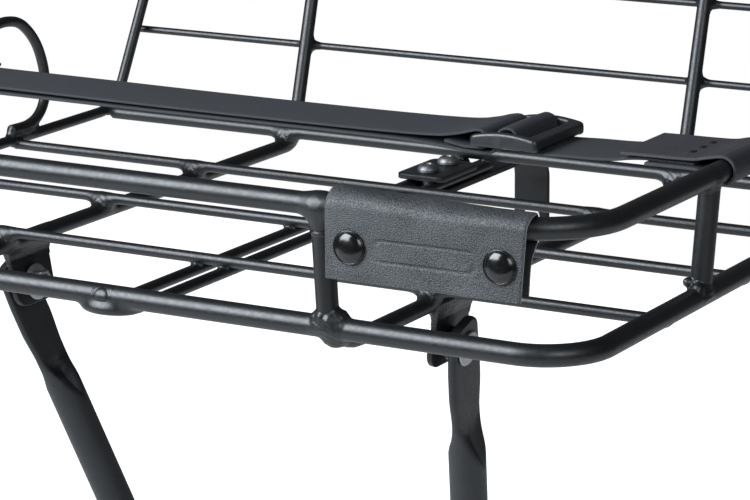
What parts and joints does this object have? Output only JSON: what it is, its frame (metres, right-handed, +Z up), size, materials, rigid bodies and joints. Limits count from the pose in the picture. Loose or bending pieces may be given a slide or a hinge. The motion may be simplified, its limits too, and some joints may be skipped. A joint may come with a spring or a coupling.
{
  "type": "bicycle front carrier",
  "caption": "Front luggage carrier for a bicycle: tube and wire deck, raised wire back wall, flattened tube struts, slotted crown arm, webbing strap and a folded leather label.",
  "frame": {"origin": "centre of the crown bolt's slot, on the rear face of the crown arm, where the carrier is bolted to the bicycle's fork crown", "axes": "+X to the right along the front rail, +Y back towards the bicycle, +Z up"},
  "size_m": [0.494, 0.4379, 0.6265],
  "materials": {
    "coated_frame": "satin black powder coat",
    "coated_strut": "satin dark grey powder coat",
    "zinc_steel": "zinc plated",
    "label_leather": "fine grain, matt",
    "anchor_leather": "smooth, matt",
    "webbing": "tight plain weave",
    "buckle_plastic": "moulded, satin",
    "snap_black": "glossy black"
  },
  "bodies": {
    "carrier": {"base_ring": "coated_frame", "top_rail": "coated_frame", "deck_rod_1": "coated_frame", "deck_rod_2": "coated_frame", "deck_rod_3": "coated_frame", "rear_rail": "coated_frame", "cross_tube_left": "coated_frame", "cross_tube_right": "coated_frame", "spine_rod_left": "coated_frame", "spine_rod_right": "coated_frame", "nose_plate": "coated_frame", "nose_rivet": "coated_frame", "front_post_left": "coated_frame", "front_post_right": "coated_frame", "side_post_left": "coated_frame", "side_post_right": "coated_frame", "side_hoop_left": "coated_frame", "side_hoop_right": "coated_frame", "wall_frame": "coated_frame", "wall_rod_1": "coated_frame", "wall_rod_2": "coated_frame", "wall_rod_3": "coated_frame", "wall_rod_4": "coated_frame", "strut_bracket_left": "coated_frame", "strut_bracket_right": "coated_frame", "strut_bolt_left": "zinc_steel", "strut_bolt_right": "zinc_steel", "strut_washer_left": "zinc_steel", "strut_washer_right": "zinc_steel", "strut_nut_left": "zinc_steel", "strut_nut_right": "zinc_steel", "strut_spacer_left": "buckle_plastic", "strut_spacer_right": "buckle_plastic", "label_leather": "label_leather", "snap_cap_left": "snap_black", "snap_cap_right": "snap_black", "snap_socket_left": "zinc_steel", "snap_socket_right": "zinc_steel", "snap_stud_left": "snap_black", "snap_stud_right": "snap_black"},
    "strap_set": {"strap_long": "webbing", "strap_short": "webbing", "buckle": "buckle_plastic", "strap_anchor_left": "anchor_leather", "strap_anchor_right": "anchor_leather"},
    "crown_mount": {"crown_arm": "coated_frame", "clamp_plate": "coated_frame", "clamp_bolt_1": "zinc_steel", "clamp_bolt_2": "zinc_steel", "clamp_nut_1": "zinc_steel", "clamp_nut_2": "zinc_steel"},
    "strut_left": {"strut_left": "coated_strut"},
    "strut_right": {"strut_right": "coated_strut"}
  },
  "joints": [
    {"name": "strut_left_pivot", "type": "hinge", "parent": "carrier", "child": "strut_left", "pos_m": [-0.1172, -0.3175, 0.0251], "axis": [0.9852, 0, 0.1714], "range_deg": [-45, 60]},
    {"name": "strut_right_pivot", "type": "hinge", "parent": "carrier", "child": "strut_right", "pos_m": [0.1172, -0.3175, 0.0251], "axis": [0.9852, 0, -0.1714], "range_deg": [-45, 60]},
    {"name": "crown_arm_slide", "type": "slide", "parent": "carrier", "child": "crown_mount", "axis": [0, 1, 0], "range_m": [-0.025, 0.012]},
    {"name": "strap_slide", "type": "slide", "parent": "carrier", "child": "strap_set", "axis": [0, 1, 0], "range_m": [-0.006, 0.012]}
  ]
}
